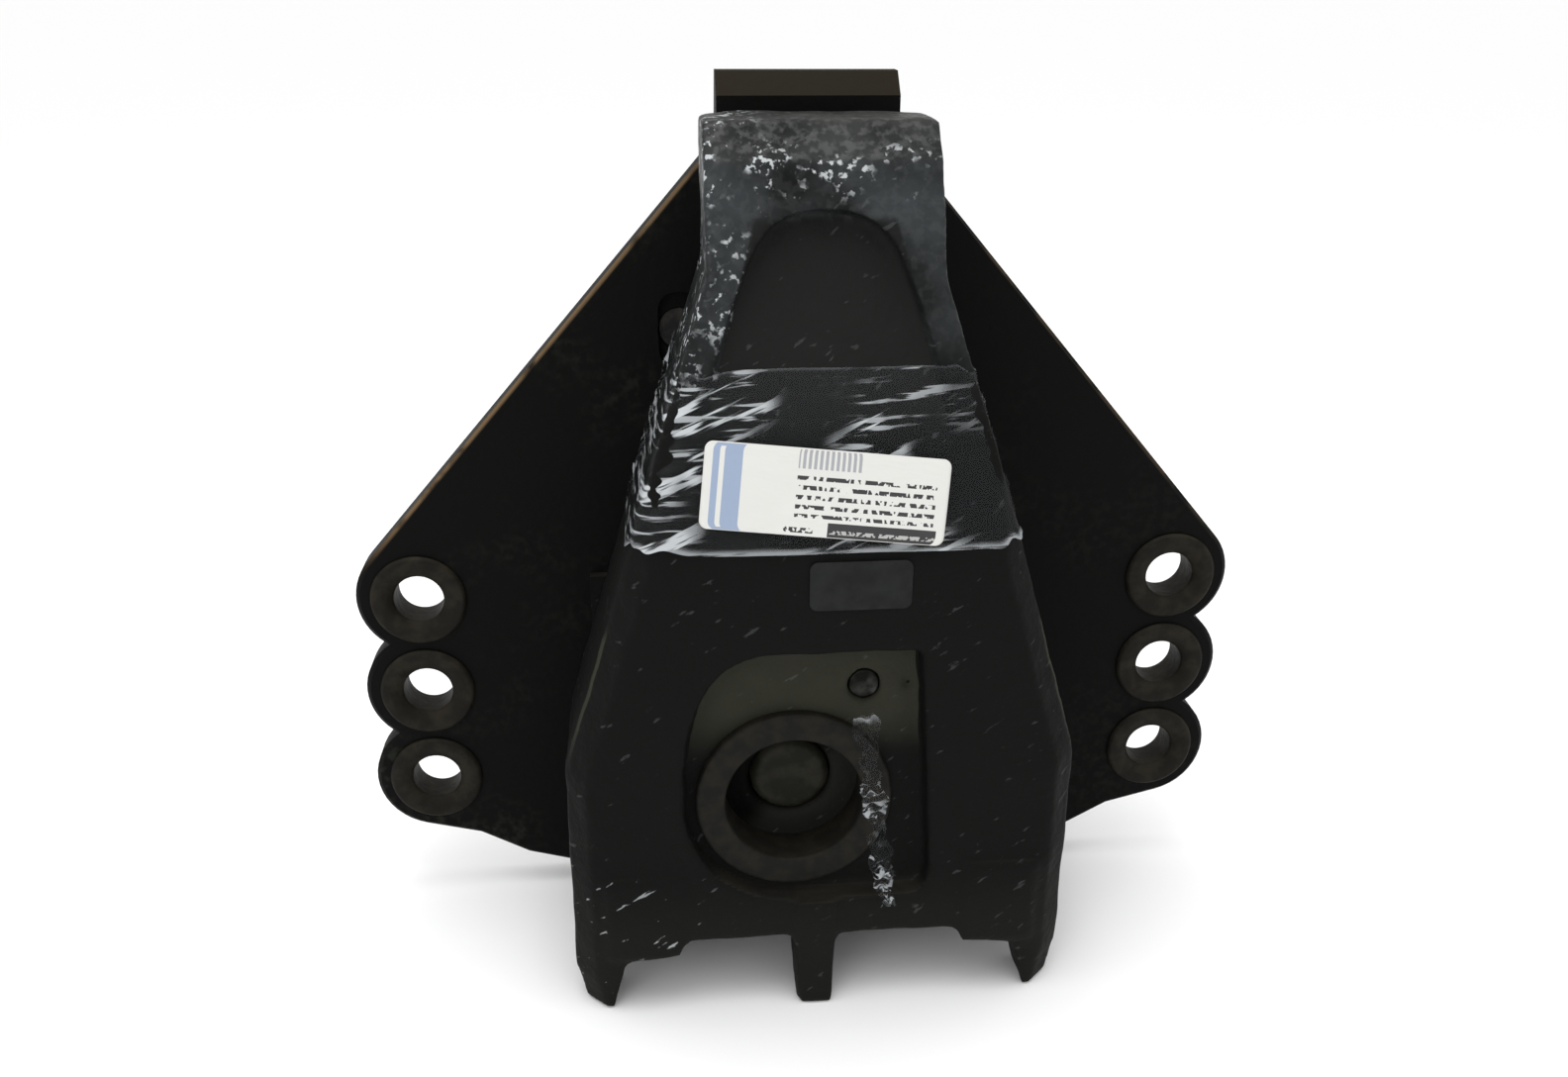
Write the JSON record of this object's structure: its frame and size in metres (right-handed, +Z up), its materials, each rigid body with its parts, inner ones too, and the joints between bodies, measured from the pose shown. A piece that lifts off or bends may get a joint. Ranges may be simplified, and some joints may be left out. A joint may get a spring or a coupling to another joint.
{
  "type": "excavator bucket tooth with bolted wings",
  "caption": "Hollow cast bucket tooth pinned over a boss on a chisel-tipped spine bar that carries bolted wing plates with ringed bolt holes.",
  "frame": {"origin": "on the floor, at the middle of the whole part's outline, with the tooth standing tip up on its feet", "axes": "+X across the wings, +Y from the casting's front to the back of the spine, +Z up towards the tip"},
  "size_m": [0.492, 0.1684, 0.465],
  "materials": {
    "casting_paint": "black paint over rough cast steel",
    "wing_paint": "satin black paint on flame-cut plate",
    "ring_steel": "thin black paint worn to brown at the edges",
    "pin_steel": "dark oiled steel",
    "rubber": "matt",
    "clear_film": "clear wrinkled stretch film",
    "label_paper": null,
    "grey_tape": "thin grey tape"
  },
  "bodies": {
    "root": {"tooth_casting": "casting_paint", "t_boss": "casting_paint", "pin_bush": "ring_steel", "keeper_plug": "rubber", "spine_bar": "wing_paint", "wing_left": "wing_paint", "wing_right": "wing_paint", "film_band": "clear_film", "film_tail": "clear_film", "label": "label_paper", "film_tab": "grey_tape", "hole_ring_left_1": "ring_steel", "plough_bolt_left_1": "pin_steel", "plough_nut_left_1": "pin_steel", "hole_ring_left_2": "ring_steel", "plough_bolt_left_2": "pin_steel", "plough_nut_left_2": "pin_steel", "hole_ring_left_3": "ring_steel", "plough_bolt_left_3": "pin_steel", "plough_nut_left_3": "pin_steel", "hole_ring_right_1": "ring_steel", "plough_bolt_right_1": "pin_steel", "plough_nut_right_1": "pin_steel", "hole_ring_right_2": "ring_steel", "plough_bolt_right_2": "pin_steel", "plough_nut_right_2": "pin_steel", "hole_ring_right_3": "ring_steel", "plough_bolt_right_3": "pin_steel", "plough_nut_right_3": "pin_steel"},
    "lock_pin": {"retaining_pin": "pin_steel"},
    "keeper": {"keeper_pin": "pin_steel"}
  },
  "joints": [
    {"name": "lock_pin_slide", "type": "slide", "parent": "root", "child": "lock_pin", "axis": [0, -1, 0], "range_m": [0, 0.13]},
    {"name": "keeper_press", "type": "slide", "parent": "root", "child": "keeper", "axis": [0, 1, 0], "range_m": [0, 0.005], "stiffness_N_per_m": 1500, "springref_m": -0.002, "deforming": ["keeper_plug"]}
  ]
}
